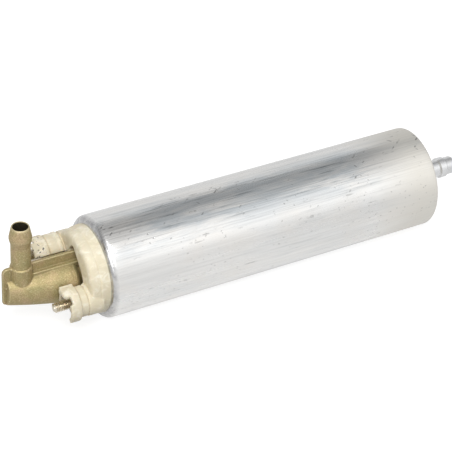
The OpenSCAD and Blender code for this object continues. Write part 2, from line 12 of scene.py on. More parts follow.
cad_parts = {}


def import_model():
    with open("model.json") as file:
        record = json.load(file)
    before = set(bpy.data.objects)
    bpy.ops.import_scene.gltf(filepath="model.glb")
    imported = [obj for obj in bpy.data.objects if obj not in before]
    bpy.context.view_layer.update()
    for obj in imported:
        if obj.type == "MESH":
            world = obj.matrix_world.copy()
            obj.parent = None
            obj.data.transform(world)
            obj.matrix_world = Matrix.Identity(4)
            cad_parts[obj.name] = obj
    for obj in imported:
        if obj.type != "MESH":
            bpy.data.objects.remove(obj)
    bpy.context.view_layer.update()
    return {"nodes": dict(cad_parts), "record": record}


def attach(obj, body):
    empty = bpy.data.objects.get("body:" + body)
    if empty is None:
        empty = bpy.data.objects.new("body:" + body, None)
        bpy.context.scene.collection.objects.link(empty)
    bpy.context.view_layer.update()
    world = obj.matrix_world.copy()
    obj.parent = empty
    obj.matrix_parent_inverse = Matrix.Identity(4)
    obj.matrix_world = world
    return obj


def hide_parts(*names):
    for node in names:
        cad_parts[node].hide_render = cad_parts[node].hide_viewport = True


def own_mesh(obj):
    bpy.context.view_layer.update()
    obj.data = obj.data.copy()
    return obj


MM = 0.001
# In millimetres: points nearer to each other than MERGE are one, and less than NOTHING is none
MERGE = 1e-4
NOTHING = 1e-6
LOG = logging.getLogger("fuel_pump")
Point = tuple[float, float, float]
Colour = tuple[float, float, float]
Span = tuple[float, float]
Outline = Sequence[tuple[float, float]]
Socket = bpy.types.NodeSocket


class Slot(Enum):
    """The finish slots that the part's record names."""

    TUBE = "tube_alu"
    PLASTIC = "cream_plastic"
    CASTING = "zinc_casting"
    STEEL = "plated_steel"
    BRASS = "brass"
    RUBBER = "rubber"
    COPPER = "copper"
    FERRITE = "ferrite"
    BRONZE = "bronze"
    MACHINED = "machined_alu"
    DARK = "dark_plastic"
    MESH = "mesh"


class Net:
    """A node tree, with short calls for the nodes that the looks use."""

    def __init__(self, tree: bpy.types.NodeTree) -> None:
        """Takes over a tree.

        Args:
            tree: The tree that the calls add to.
        """
        self.tree = tree

    @classmethod
    def bare(cls, owner: bpy.types.Material | bpy.types.World) -> "Net":
        """Returns the emptied tree of a material or a world."""
        owner.use_nodes = True
        owner.node_tree.nodes.clear()
        return cls(owner.node_tree)

    def add(self, kind: str) -> bpy.types.Node:
        """Adds a node, where kind is the end of its type's name."""
        return self.tree.nodes.new("ShaderNode" + kind)

    def link(self, source: Socket, target: Socket) -> None:
        """Joins one socket to another."""
        self.tree.links.new(source, target)

    def ramp(self, value: Socket, stops: Sequence[tuple[float, Colour]]) -> Socket:
        """Turns a value into a colour.

        Args:
            value: The value to read.
            stops: Places from 0 to 1 and the linear colour at each.

        Returns:
            The colour.
        """
        node = self.add("ValToRGB")
        marks = node.color_ramp.elements
        for mark, (at, colour) in zip(marks, stops[:2]):
            mark.position, mark.color = at, (*colour, 1.0)
        for at, colour in stops[2:]:
            marks.new(at).color = (*colour, 1.0)
        self.link(value, node.inputs["Fac"])
        return node.outputs["Color"]

    def fit(
        self, value: Socket, low: float, high: float, to_low: float, to_high: float
    ) -> Socket:
        """Returns the value with low to high laid on to_low to to_high, and cut off beyond them."""
        node = self.add("MapRange")
        names = ("From Min", "From Max", "To Min", "To Max")
        for name, number in zip(names, (low, high, to_low, to_high)):
            node.inputs[name].default_value = number
        self.link(value, node.inputs["Value"])
        return node.outputs["Result"]

    def math(self, kind: str, a: Socket, b: Socket | float) -> Socket:
        """Returns one sum of two values, where kind is the name of a Math node's operation."""
        node = self.add("Math")
        node.operation = kind
        self.link(a, node.inputs[0])
        if isinstance(b, float):
            node.inputs[1].default_value = b
        else:
            self.link(b, node.inputs[1])
        return node.outputs[0]

    def times(self, a: Socket, b: Socket | float) -> Socket:
        """Returns the product of two values."""
        return self.math("MULTIPLY", a, b)

    def choose(self, factor: Socket, a: Socket, b: Socket) -> Socket:
        """Returns the shader a where the factor is 0 and b where it is 1."""
        node = self.add("MixShader")
        for socket, source in zip(node.inputs, (factor, a, b)):
            self.link(source, socket)
        return node.outputs[0]


class Shader(Net):
    """A surface's material, with calls for the patterns that the finishes lay on it."""

    def __init__(self, name: str) -> None:
        """Starts a plain material.

        Args:
            name: The material's name.
        """
        self.material = bpy.data.materials.new(name)
        self.material.use_nodes = True
        super().__init__(self.material.node_tree)
        self.surface = next(n for n in self.tree.nodes if n.type == "BSDF_PRINCIPLED")
        self.place = self.add("TexCoord").outputs["Object"]

    def set(self, **values: float | tuple[float, ...]) -> None:
        """Sets constants on the surface's sockets, with underscores for spaces in their names."""
        for name, value in values.items():
            self.surface.inputs[name.replace("_", " ")].default_value = value

    def mapped(self, place: Socket, what: str, value: Point) -> Socket:
        """Returns coordinates that a Mapping node's Scale or Rotation has changed."""
        node = self.add("Mapping")
        node.inputs[what].default_value = value
        self.link(place, node.inputs["Vector"])
        return node.outputs["Vector"]

    def noise(
        self, scale: Point, detail: float = 2.0, rough: float = 0.5, warp: float = 0.0,
    ) -> Socket:
        """Adds cloudy noise.

        Args:
            scale: Cells per metre along each axis.
            detail: How many finer layers lie on the first.
            rough: How strong the finer layers are.
            warp: How far the noise bends itself.

        Returns:
            The noise from 0 to 1.
        """
        node = self.add("TexNoise")
        names = ("Scale", "Detail", "Roughness", "Distortion")
        for name, number in zip(names, (1.0, detail, rough, warp)):
            node.inputs[name].default_value = number
        self.link(self.mapped(self.place, "Scale", scale), node.inputs["Vector"])
        return node.outputs["Fac"]

    def specks(self, scale: Point, turn: float = 0.0) -> Socket:
        """Returns the distance to scattered points.

        Args:
            scale: Cells per metre along each axis.
            turn: How far the axes are turned about Z, in degrees.

        Returns:
            The distance in cells.
        """
        place = self.place
        if turn:
            place = self.mapped(place, "Rotation", (0.0, 0.0, math.radians(turn)))
        node = self.add("TexVoronoi")
        node.inputs["Scale"].default_value = 1.0
        self.link(self.mapped(place, "Scale", scale), node.inputs["Vector"])
        return node.outputs["Distance"]

    def crease(self, low: float, high: float) -> Socket:
        """Returns 1 in hollow corners and 0 elsewhere, between two bounds of pointedness."""
        return self.fit(self.add("NewGeometry").outputs["Pointiness"], low, high, 1.0, 0.0)

    def edge(self, low: float, high: float) -> Socket:
        """Returns 1 on outward edges and 0 elsewhere, between two bounds of pointedness."""
        return self.fit(self.add("NewGeometry").outputs["Pointiness"], low, high, 0.0, 1.0)

    def axis(self, name: str) -> Socket:
        """Returns the place along one of the object's axes, in metres."""
        split = self.add("SeparateXYZ")
        self.link(self.place, split.inputs[0])
        return split.outputs[name]

    def column(self, x: float, y: float, r: float) -> Socket:
        """Returns 1 inside an upright column and 0 outside it, in millimetres."""
        across = self.math("POWER", self.math("SUBTRACT", self.axis("X"), x * MM), 2.0)
        deep = self.math("POWER", self.math("SUBTRACT", self.axis("Y"), y * MM), 2.0)
        return self.math("LESS_THAN", self.math("ADD", across, deep), (r * MM) ** 2)

    def along(self, name: str, span: Span) -> Socket:
        """Returns 1 at the first place of a span along an axis and 0 from the second, in mm."""
        return self.fit(self.axis(name), span[0] * MM, span[1] * MM, 1.0, 0.0)

    def blend(self, factor: Socket, a: Socket | Colour, b: Socket | Colour) -> Socket:
        """Returns the colour a where the factor is 0 and b where it is 1."""
        node = self.add("Mix")
        node.data_type = "RGBA"
        self.link(factor, node.inputs["Factor"])
        for side, colour in zip(("A", "B"), (a, b)):
            socket = next(s for s in node.inputs if s.name == side and s.type == "RGBA")
            if isinstance(colour, tuple):
                socket.default_value = (*colour, 1.0)
            else:
                self.link(colour, socket)
        return next(s for s in node.outputs if s.type == "RGBA")

    def colour(self, source: Socket) -> None:
        """Gives the surface its colour."""
        self.link(source, self.surface.inputs["Base Color"])

    def roughness(self, source: Socket) -> None:
        """Gives the surface its roughness."""
        self.link(source, self.surface.inputs["Roughness"])

    def relief(self, layers: Iterable[tuple[Socket, float]]) -> None:
        """Lays bumps over each other.

        Args:
            layers: A height from 0 to 1 and its full depth in millimetres, for each layer.
        """
        previous = None
        for height, depth in layers:
            node = self.add("Bump")
            node.inputs["Strength"].default_value = 1.0
            node.inputs["Distance"].default_value = depth * MM
            self.link(height, node.inputs["Height"])
            if previous is not None:
                self.link(previous, node.inputs["Normal"])
            previous = node.outputs["Normal"]
        self.link(previous, self.surface.inputs["Normal"])


def shade(colour: Colour, by: float) -> Colour:
    """Returns a linear colour made lighter or darker by a factor."""
    return tuple(min(1.0, c * by) for c in colour)


@dataclass(frozen=True)
class DrawnAluminium:
    """Aluminium drawn along the tube: lengthways streaks, scuffs, scratches, shallow dents, and a
    rolled rim darkened by rolling marks and painted shade.
    """

    name: str = "drawn_aluminium"
    base: Colour = (0.785, 0.78, 0.765)
    cloudy: Colour = (0.77, 0.735, 0.69)
    scuffed: Colour = (0.44, 0.50, 0.55)
    streaked: Colour = (0.26, 0.28, 0.29)
    tarnished: Colour = (0.66, 0.635, 0.575)
    # Colour of the rolled rim: rolling marks and painted shade
    rim_marks_and_shade: Colour = (0.27, 0.27, 0.28)
    gloss: float = 0.2
    busy_z: Span = (18.5, 13.0)
    busy_y: Span = (-1.0, 5.0)
    middle_left: Span = (-6.0, -26.0)
    middle_right: Span = (38.0, 54.0)
    far_end: Span = (68.0, 44.0)
    roll_x: Span = (-75.9, -74.3)
    rim_shade_z: Span = (9.0, 3.0)
    scratches: tuple[tuple[Point, float], ...] = (
        ((50.0, 420.0, 420.0), 0.0), ((70.0, 520.0, 520.0), 55.0), ((85.0, 480.0, 480.0), -38.0),
    )

    def material(self) -> bpy.types.Material:
        """Returns the finish as a material."""
        sh = Shader(self.name)
        sh.set(Metallic=1.0)
        zone = sh.times(sh.along("Z", self.busy_z), sh.along("Y", self.busy_y))
        busy = sh.fit(zone, 0.0, 1.0, 0.22, 1.0)
        far = sh.along("X", self.far_end)
        broad = sh.noise((9.0, 300.0, 300.0), 5.0, 0.62)
        fine = sh.noise((26.0, 1700.0, 1700.0), 3.0, 0.6)
        cloud = sh.noise((42.0, 60.0, 60.0), 4.0, 0.62, 0.6)
        streak = sh.fit(sh.noise((38.0, 900.0, 900.0), 3.0, 0.55, 0.3), 0.56, 0.70, 0.0, 1.0)
        middle = sh.times(sh.along("X", self.middle_right), sh.along("X", self.middle_left))
        patches = sh.noise((17.0, 95.0, 95.0), 4.0, 0.7, 0.5)
        patches = sh.math("ADD", patches, sh.times(middle, 0.09))
        worn = sh.times(sh.fit(patches, 0.47, 0.62, 0.0, 1.0), busy)
        broken = sh.fit(sh.noise((520.0,) * 3, 3.0, 0.6), 0.44, 0.54, 0.0, 1.0)
        handled = sh.fit(sh.noise((45.0, 80.0, 80.0), 3.0, 0.6), 0.43, 0.52, 0.0, 1.0)
        broken = sh.times(sh.times(broken, handled), sh.fit(zone, 0.0, 1.0, 0.45, 1.0))
        marks = [
            sh.times(sh.fit(sh.specks(scale, turn), 0.1, 0.2, 1.0, 0.0), broken)
            for scale, turn in self.scratches
        ]
        tone = sh.ramp(broad, [(0.3, shade(self.base, 0.93)), (0.7, shade(self.base, 1.04))])
        dark, light = sh.fit(fine, 0.5, 0.66, 0.0, 0.8), sh.fit(fine, 0.34, 0.48, 0.6, 0.0)
        tone = sh.blend(sh.times(dark, busy), tone, shade(self.base, 0.66))
        tone = sh.blend(sh.times(light, busy), tone, shade(self.base, 1.16))
        tone = sh.blend(sh.fit(cloud, 0.46, 0.75, 0.0, 0.6), tone, self.cloudy)
        tone = sh.blend(sh.times(worn, 0.55), tone, self.scuffed)
        tone = sh.blend(sh.times(sh.times(streak, worn), 0.8), tone, self.streaked)
        tone = sh.blend(sh.times(far, 0.65), tone, self.tarnished)
        for mark in marks:
            tone = sh.blend(sh.times(mark, 0.8), tone, shade(self.base, 0.28))
        rough = sh.fit(sh.noise((420.0,) * 3, 4.0, 0.6, 0.6), 0.35, 0.6, 0.8, 0.4)
        # Rolling marks and painted shade darken the rolled rim, more towards its top; the darkening
        # also damps the rim's highlight
        low = sh.fit(sh.along("Z", self.rim_shade_z), 0.0, 1.0, 0.8, 1.0)
        rim_shade = sh.times(sh.along("X", self.roll_x), low)
        sh.colour(sh.blend(sh.times(rim_shade, rough), tone, self.rim_marks_and_shade))
        gloss = sh.fit(broad, 0.25, 0.75, self.gloss, self.gloss + 0.1)
        sh.roughness(sh.math("ADD", gloss, sh.times(far, 0.3)))
        dent = sh.fit(sh.specks((34.0, 30.0, 30.0)), 0.0, 0.16, 0.0, 1.0)
        layers = [(dent, 0.03), (broad, 0.05), (sh.times(fine, busy), 0.035), (cloud, 0.05)]
        sh.relief(layers + [(mark, -0.04) for mark in marks])
        return sh.material


@dataclass(frozen=True)
class MouldedPlastic:
    """Moulded plastic: soft gloss, flow marks, worn places, creases darkened by dirt and painted
    shade, a painted dark band of shade at the tube's rim, painted dark spots of shade on the large
    post's shroud end, and a fine grain.
    """

    name: str
    base: Colour
    deep: Colour
    gloss: float = 0.42
    glow: float = 0.12
    glow_depth: Point = (0.0025, 0.0016, 0.0008)
    wear_and_edge_highlight: Colour = (0.95, 0.93, 0.87)
    # Colour of the creases: dirt and painted shade
    crease_dirt_and_shade: Colour = (0.42, 0.30, 0.15)
    # Colour of the painted shade in the gap at the tube's rim
    gap_shade: Colour = (0.11, 0.09, 0.07)
    # Colour of the painted dark spots of shade on the large post's shroud
    shroud_shade: Colour = (0.03, 0.03, 0.03)
    gap_shade_x: Span = (-76.2, -77.0)
    shroud_shade_x: Span = (-94.0, -93.2)
    shroud_shade_y: Span = (4.0, 3.0)

    def material(self) -> bpy.types.Material:
        """Returns the finish as a material."""
        sh = Shader(self.name)
        sh.set(Subsurface_Weight=self.glow, Subsurface_Radius=self.glow_depth, Subsurface_Scale=1.0)
        flow = sh.noise((70.0, 110.0, 110.0), 4.0, 0.55, 0.4)
        grain = sh.noise((2600.0,) * 3, 2.0)
        wear = sh.noise((240.0, 340.0, 340.0), 4.0, 0.65, 0.8)
        tone = sh.ramp(flow, [(0.25, self.deep), (0.7, self.base)])
        tone = sh.blend(sh.fit(wear, 0.40, 0.60, 0.3, 0.0), tone, shade(self.deep, 0.75))
        tone = sh.blend(sh.fit(wear, 0.52, 0.70, 0.0, 0.45), tone, self.wear_and_edge_highlight)
        # Dirt and painted shade darken the hollow creases, less where the flow noise is high
        crease_dirt_and_shade_mask = sh.times(sh.crease(0.45, 0.5), sh.fit(flow, 0.35, 0.6, 0.75, 0.3))
        tone = sh.blend(crease_dirt_and_shade_mask, tone, self.crease_dirt_and_shade)
        # Painted shade: dark from just outside the tube's rim inwards, standing for the gap between
        # rim and cap
        tone = sh.blend(sh.times(sh.along("X", self.gap_shade_x), 0.75), tone, self.gap_shade)
        # Painted shade: scattered dark spots on the large post's shroud end, standing for shade in
        # its openings round the stud
        shroud_shade_zone = sh.times(sh.along("X", self.shroud_shade_x), sh.along("Y", self.shroud_shade_y))
        shroud_shade = sh.fit(sh.noise((640.0,) * 3, 3.0, 0.6), 0.585, 0.625, 0.0, 0.9)
        sh.colour(sh.blend(sh.times(shroud_shade, shroud_shade_zone), tone, self.shroud_shade))
        sh.roughness(sh.fit(grain, 0.3, 0.7, self.gloss, self.gloss + 0.1))
        sh.relief([(flow, 0.08), (wear, 0.02), (grain, 0.006)])
        return sh.material


@dataclass(frozen=True)
class CastMetal:
    """A die casting with a yellow passivation: grainy skin, patchy tint, painted shade in its
    hollows, painted highlights on its outward edges and a painted dark bore.
    """

    name: str = "yellow_passivated_casting"
    base: Colour = (0.425, 0.34, 0.165)
    warm: Colour = (0.49, 0.36, 0.21)
    cool: Colour = (0.35, 0.31, 0.14)
    bright: Colour = (0.74, 0.69, 0.54)
    # Light tint of the outward edges: painted highlight
    wear_and_edge_highlight: Colour = (0.66, 0.58, 0.38)
    # Near-black colour of the barb's bore: painted shade
    deep: Colour = (0.02, 0.018, 0.012)
    gloss: float = 0.45
    grain: float = 0.12
    bore: Point = (-107.4, 0.0, 3.13)

    def material(self) -> bpy.types.Material:
        """Returns the finish as a material."""
        sh = Shader(self.name)
        sh.set(Metallic=0.6)
        patch = sh.noise((160.0,) * 3, 3.0, 0.6, 0.6)
        grain = sh.noise((2400.0,) * 3, 3.0, 0.6)
        pits = sh.specks((2000.0,) * 3)
        tone = sh.ramp(patch, [(0.3, self.cool), (0.75, self.warm), (0.52, self.base)])
        tone = sh.blend(sh.fit(grain, 0.36, 0.56, 0.45, 0.0), tone, shade(self.base, 0.4))
        tone = sh.blend(sh.fit(grain, 0.56, 0.68, 0.0, 0.4), tone, self.bright)
        # Painted shade: hollow corners are darkened
        tone = sh.blend(sh.crease(0.44, 0.495), tone, shade(self.base, 0.2))
        # Painted highlight: outward edges are lightened
        tone = sh.blend(sh.times(sh.edge(0.51, 0.57), 0.7), tone, self.wear_and_edge_highlight)
        # Painted shade: the barb's bore is coloured nearly black
        sh.colour(sh.blend(sh.times(sh.column(*self.bore), 0.93), tone, self.deep))
        sh.roughness(sh.fit(grain, 0.3, 0.7, self.gloss, self.gloss + 0.15))
        sh.relief([(grain, self.grain), (pits, self.grain * 0.6)])
        return sh.material


@dataclass(frozen=True)
class TurnedMetal:
    """Metal with fine turning or winding marks and a little tarnish."""

    name: str
    base: Colour
    gloss: float = 0.28
    marks: Point = (2600.0, 300.0, 300.0)
    depth: float = 0.004

    def material(self) -> bpy.types.Material:
        """Returns the finish as a material."""
        sh = Shader(self.name)
        sh.set(Metallic=1.0)
        marks = sh.noise(self.marks, 2.0)
        cloud = sh.noise((180.0,) * 3, 3.0, 0.6)
        sh.colour(sh.ramp(cloud, [(0.3, shade(self.base, 0.86)), (0.7, shade(self.base, 1.05))]))
        sh.roughness(sh.fit(marks, 0.3, 0.7, self.gloss, self.gloss + 0.1))
        sh.relief([(marks, self.depth)])
        return sh.material


@dataclass(frozen=True)
class DullSolid:
    """A dull solid such as rubber, ferrite or carbon: mottled and grainy."""

    name: str
    base: Colour
    gloss: float = 0.6
    grain: float = 900.0
    depth: float = 0.015

    def material(self) -> bpy.types.Material:
        """Returns the finish as a material."""
        sh = Shader(self.name)
        grain = sh.noise((self.grain,) * 3, 3.0, 0.6)
        sh.colour(sh.ramp(grain, [(0.3, shade(self.base, 0.75)), (0.7, shade(self.base, 1.25))]))
        sh.roughness(sh.fit(grain, 0.3, 0.7, self.gloss, self.gloss + 0.15))
        sh.relief([(grain, self.depth)])
        return sh.material


Finish = DrawnAluminium | MouldedPlastic | CastMetal | TurnedMetal | DullSolid

FINISHES: dict[Slot, Finish] = {
    Slot.TUBE: DrawnAluminium(),
    Slot.PLASTIC: MouldedPlastic("cream_moulding", (0.78, 0.72, 0.56), (0.71, 0.63, 0.45)),
    Slot.CASTING: CastMetal(),
    Slot.STEEL: TurnedMetal("plated_steel", (0.74, 0.68, 0.56), 0.24),
    Slot.BRASS: TurnedMetal("bright_brass", (0.7, 0.52, 0.22)),
    Slot.RUBBER: DullSolid("black_rubber", (0.02, 0.02, 0.02)),
    Slot.COPPER: TurnedMetal(
        "lacquered_copper", (0.62, 0.26, 0.12), 0.3, (300.0, 3000.0, 3000.0), 0.02
    ),
    Slot.FERRITE: DullSolid("pressed_ferrite", (0.05, 0.05, 0.055)),
    Slot.BRONZE: TurnedMetal("porous_bronze", (0.48, 0.29, 0.12), 0.4),
    Slot.MACHINED: TurnedMetal("machined_aluminium", (0.75, 0.755, 0.76), 0.24),
    Slot.DARK: MouldedPlastic("dark_moulding", (0.03, 0.03, 0.032), (0.02, 0.02, 0.022), 0.4, 0.0),
    Slot.MESH: DullSolid("woven_strainer", (0.62, 0.62, 0.58), 0.5, 2500.0, 0.05),
}

# Nodes that look like another slot of the record than their own
LOOKS: dict[str, Slot] = {"inlet_nipple": Slot.MACHINED}


class Wardrobe:
    """Makes each finish once and hands it out."""

    def __init__(self) -> None:
        """Starts with no material made."""
        self.made: dict[Slot, bpy.types.Material] = {}

    def get(self, slot: Slot) -> bpy.types.Material:
        """Returns the material for a slot."""
        if slot not in self.made:
            self.made[slot] = FINISHES[slot].material()
        return self.made[slot]

    def dress(self, obj: bpy.types.Object, slot: Slot) -> None:
        """Puts a slot's finish on an object in place of what it had."""
        obj.data.materials.clear()
        obj.data.materials.append(self.get(slot))


class Form:
    """A mesh in the making, in millimetres in the part's frame."""

    def __init__(self) -> None:
        """Starts an empty mesh."""
        self.bm = bmesh.new()

    def turn(
        self,
        profile: Outline,
        steps: int = 96,
        place: Matrix | None = None,
        arc: tuple[float, float] = (0.0, 360.0),
    ) -> "Form":
        """Turns a profile into a closed solid about the X axis.

        Args:
            profile: Pairs of x and radius. One that starts and ends on the axis closes itself.
            steps: Faces round the turn.
            place: Where the turned shape goes.
            arc: The angles, in degrees from +Y towards +Z, between which the profile is turned.

        Returns:
            The form itself.
        """
        start, end = (math.radians(a) for a in arc)
        whole = abs(arc[1] - arc[0] - 360.0) < NOTHING
        part = bmesh.new()
        verts = [part.verts.new((x, r * math.cos(start), r * math.sin(start))) for x, r in profile]
        edges = [part.edges.new(pair) for pair in zip(verts, verts[1:])]
        closed = profile[0][1] > NOTHING or profile[-1][1] > NOTHING
        if closed:
            edges.append(part.edges.new((verts[-1], verts[0])))
        geom: list = verts + edges
        if not whole:
            geom.append(part.faces.new(verts))
        bmesh.ops.spin(
            part, geom=geom, cent=(0, 0, 0), axis=(1, 0, 0), angle=end - start,
            steps=steps, use_merge=whole, use_duplicate=False,
        )
        bmesh.ops.remove_doubles(part, verts=part.verts, dist=MERGE)
        bmesh.ops.recalc_face_normals(part, faces=part.faces)
        return self.take(part, place)

    def take(self, part: bmesh.types.BMesh, place: Matrix | None = None) -> "Form":
        """Adds another mesh, moved to its place, and frees it.

        Args:
            part: The mesh to add.
            place: Where it goes.

        Returns:
            The form itself.
        """
        if place is not None:
            bmesh.ops.transform(part, matrix=place, verts=part.verts)
            if place.determinant() < 0:
                bmesh.ops.reverse_faces(part, faces=part.faces)
        mesh = bpy.data.meshes.new("part")
        part.to_mesh(mesh)
        part.free()
        self.bm.from_mesh(mesh)
        bpy.data.meshes.remove(mesh)
        return self

    def block(self, low: Point, high: Point) -> "Form":
        """Adds a block between two corners.

        Args:
            low: The lowest corner.
            high: The highest corner.

        Returns:
            The form itself.
        """
        part = bmesh.new()
        bmesh.ops.create_cube(part, size=1.0)
        size = Vector(high) - Vector(low)
        bmesh.ops.scale(part, vec=size, verts=part.verts)
        bmesh.ops.translate(part, vec=(Vector(low) + Vector(high)) / 2, verts=part.verts)
        return self.take(part)

    def prism(
        self,
        corners: Sequence[Point],
        way: Point,
        rounded: Callable[[Vector], bool] | None = None,
        radius: float = 0.0,
    ) -> "Form":
        """Pushes a flat face along a direction.

        Args:
            corners: The corners of the face.
            way: How far and where it is pushed.
            rounded: Whether an edge along the push is rounded, told by its first corner.
            radius: The radius of that rounding.

        Returns:
            The form itself.
        """
        part = bmesh.new()
        part.faces.new([part.verts.new(c) for c in corners])
        if rounded is not None:
            picked = [v for v in part.verts if rounded(v.co)]
            bmesh.ops.bevel(
                part, geom=picked, offset=radius, offset_type="OFFSET", segments=8, profile=0.5,
                affect="VERTICES", clamp_overlap=True, material=-1,
            )
        grown = bmesh.ops.extrude_face_region(part, geom=part.faces[:])
        moved = [v for v in grown["geom"] if isinstance(v, bmesh.types.BMVert)]
        bmesh.ops.translate(part, vec=way, verts=moved)
        bmesh.ops.recalc_face_normals(part, faces=part.faces)
        return self.take(part)

    def cone(self, start: Point, end: Point, r1: float, r2: float, steps: int = 64) -> "Form":
        """Adds a solid cone or cylinder between two points.

        Args:
            start: The middle of its first end.
            end: The middle of its second end.
            r1: The radius at the first end.
            r2: The radius at the second end.
            steps: Faces round it.

        Returns:
            The form itself.
        """
        way = Vector(end) - Vector(start)
        part = bmesh.new()
        bmesh.ops.create_cone(
            part, cap_ends=True, cap_tris=False, segments=steps, radius1=r1, radius2=r2,
            depth=way.length,
        )
        turn = Vector((0, 0, 1)).rotation_difference(way.normalized()).to_matrix().to_4x4()
        middle = (Vector(start) + Vector(end)) / 2
        return self.take(part, Matrix.Translation(middle) @ turn)

    def mesh(self, name: str) -> bpy.types.Mesh:
        """Returns the form as a mesh in metres and frees it."""
        bmesh.ops.scale(self.bm, vec=(MM,) * 3, verts=self.bm.verts)
        mesh = bpy.data.meshes.new(name)
        self.bm.to_mesh(mesh)
        self.bm.free()
        return mesh

    def piece(self, name: str, sharp: float = 40.0) -> bpy.types.Object:
        """Makes the form an object of the scene.

        Args:
            name: The piece's name.
            sharp: Edges that turn by more than this many degrees stay sharp.

        Returns:
            The new object.
        """
        return as_piece(name, self.mesh(name), sharp)


def as_piece(name: str, mesh: bpy.types.Mesh, sharp: float = 40.0) -> bpy.types.Object:
    """Makes a mesh an object of the scene with smooth faces.

    Args:
        name: The piece's name.
        mesh: Its mesh, in place.
        sharp: Edges that turn by more than this many degrees stay sharp.

    Returns:
        The new object.
    """
    mesh.polygons.foreach_set("use_smooth", [True] * len(mesh.polygons))
    mesh.set_sharp_from_angle(angle=math.radians(sharp))
    obj = bpy.data.objects.new(name, mesh)
    bpy.context.scene.collection.objects.link(obj)
    return obj


def melt(name: str, keep: Form, cut: Form, voxel: float, rounds: int) -> bpy.types.Object:
    """Joins the shells of a form, cuts others from it and rounds the whole as a casting is.

    Args:
        name: The piece's name.
        keep: The shells that stay.
        cut: The shells that are taken away.
        voxel: The size in millimetres of the grid that the skin is rebuilt on.
        rounds: How many times the skin is smoothed.

    Returns:
        The new object.
    """
    body = as_piece(name + "_shells", keep.mesh(name + "_shells"))
    tool = as_piece(name + "_cut", cut.mesh(name + "_cut"))
    carve = body.modifiers.new("carve", "BOOLEAN")
    carve.operation, carve.solver, carve.use_self, carve.object = "DIFFERENCE", "EXACT", True, tool
    skin = body.modifiers.new("skin", "REMESH")
    skin.mode, skin.voxel_size, skin.use_smooth_shade = "VOXEL", voxel * MM, True
    relax = body.modifiers.new("relax", "SMOOTH")
    relax.factor, relax.iterations = 0.5, rounds
    bpy.context.view_layer.update()
    ready = body.evaluated_get(bpy.context.evaluated_depsgraph_get())
    mesh = bpy.data.meshes.new_from_object(ready)
    mesh.name = name
    for helper in (body, tool):
        bpy.data.objects.remove(helper)
    return as_piece(name, mesh, 60.0)


@dataclass
class TubeShell:
    """The drawn aluminium tube with its rolled rim and closed end."""

    r: float = 21.5
    rim: float = -76.8
    end: float = 76.8
    wall: float = 1.2
    rim_round: float = 3.0
    opening: float = 19.0
    hub: float = 7.0
    corner_round: float = 1.0
    end_wall: float = 1.6
    lip: float = 0.15
    wardrobe: Wardrobe = field(default_factory=Wardrobe)

    def build(self) -> bpy.types.Object:
        """Turns the tube's wall, with its rim rolled inwards and the closed end's corner rounded.

        Returns:
            The tube.
        """
        inner = self.r - self.wall
        centre_x, centre_r = self.rim + self.rim_round, self.r - self.rim_round
        curl = [
            (centre_x - self.rim_round * math.cos(a), centre_r + self.rim_round * math.sin(a))
            for a in (math.radians(d) for d in range(-2, 91, 8))
        ]
        under = self.rim_round - self.wall
        back = [
            (centre_x - under * math.cos(a), centre_r + under * math.sin(a))
            for a in (math.radians(d) for d in range(90, 9, -16))
        ]
        corner = [
            (self.end - self.corner_round + math.sin(a), self.r - self.corner_round + math.cos(a))
            for a in (math.radians(d) for d in range(0, 91, 15))
        ]
        floor = self.end - self.end_wall
        profile = [(self.rim + self.wall, self.opening), (self.rim + self.lip, self.opening), *curl]
        profile += [(x, self.r) for x in range(-70, 75, 4)]
        profile += [*corner, (self.end, self.hub), (floor, self.hub), (floor, inner), *back]
        return Form().turn(profile, 180).piece("tube_shell", 50.0)

    def dress(self, tube: bpy.types.Object) -> None:
        """Gives the tube its finish and its place in the assembly."""
        self.wardrobe.dress(tube, Slot.TUBE)
        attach(tube, "housing")
        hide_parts("tube_housing")


